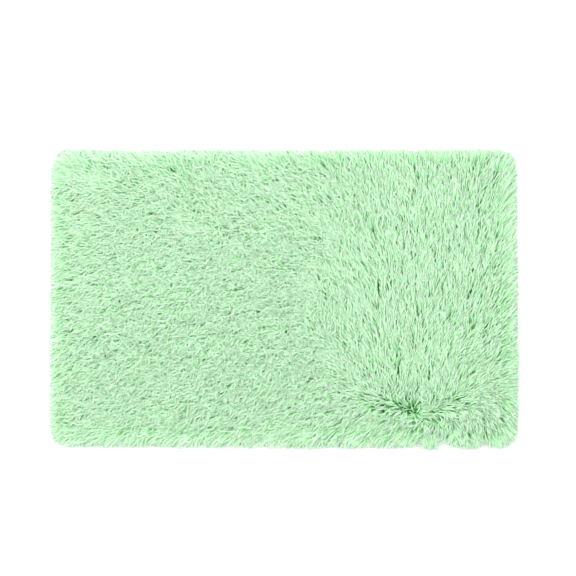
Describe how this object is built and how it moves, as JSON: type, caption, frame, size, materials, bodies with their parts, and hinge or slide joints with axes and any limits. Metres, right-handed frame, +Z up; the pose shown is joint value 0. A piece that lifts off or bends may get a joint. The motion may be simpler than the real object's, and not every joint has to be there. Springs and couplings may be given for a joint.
{
  "type": "bath mat",
  "caption": "Rectangular long-pile plush bath mat with rounded corners, a foam core, a tape-bound edge and a non-slip base cloth with moulded grip dots.",
  "frame": {"origin": "on the floor under the middle of the mat", "axes": "+X along the mat's length, +Y along its width, +Z up through the pile"},
  "size_m": [0.83, 0.53, 0.032],
  "materials": {
    "plush_pile": "mint green polyester long-pile plush, soft and slightly glossy",
    "ground_knit": "mint green polyester warp knit that the pile is rooted in",
    "foam": "open-cell polyurethane sponge, matte",
    "base_cloth": "pale mint plain-woven polyester",
    "grip_dots": "milky soft PVC, satin",
    "binding_tape": "mint ribbed binding tape",
    "sewing_thread": "mint spun polyester thread",
    "label_ribbon": "white satin ribbon, blank"
  },
  "bodies": {
    "root": {"plush_pile": "plush_pile", "ground_knit": "ground_knit", "foam_core": "foam", "base_cloth": "base_cloth", "grip_dots": "grip_dots", "edge_binding": "binding_tape", "binding_stitch_upper": "sewing_thread", "binding_stitch_under": "sewing_thread", "care_label": "label_ribbon", "label_stitch": "sewing_thread"}
  },
  "joints": []
}
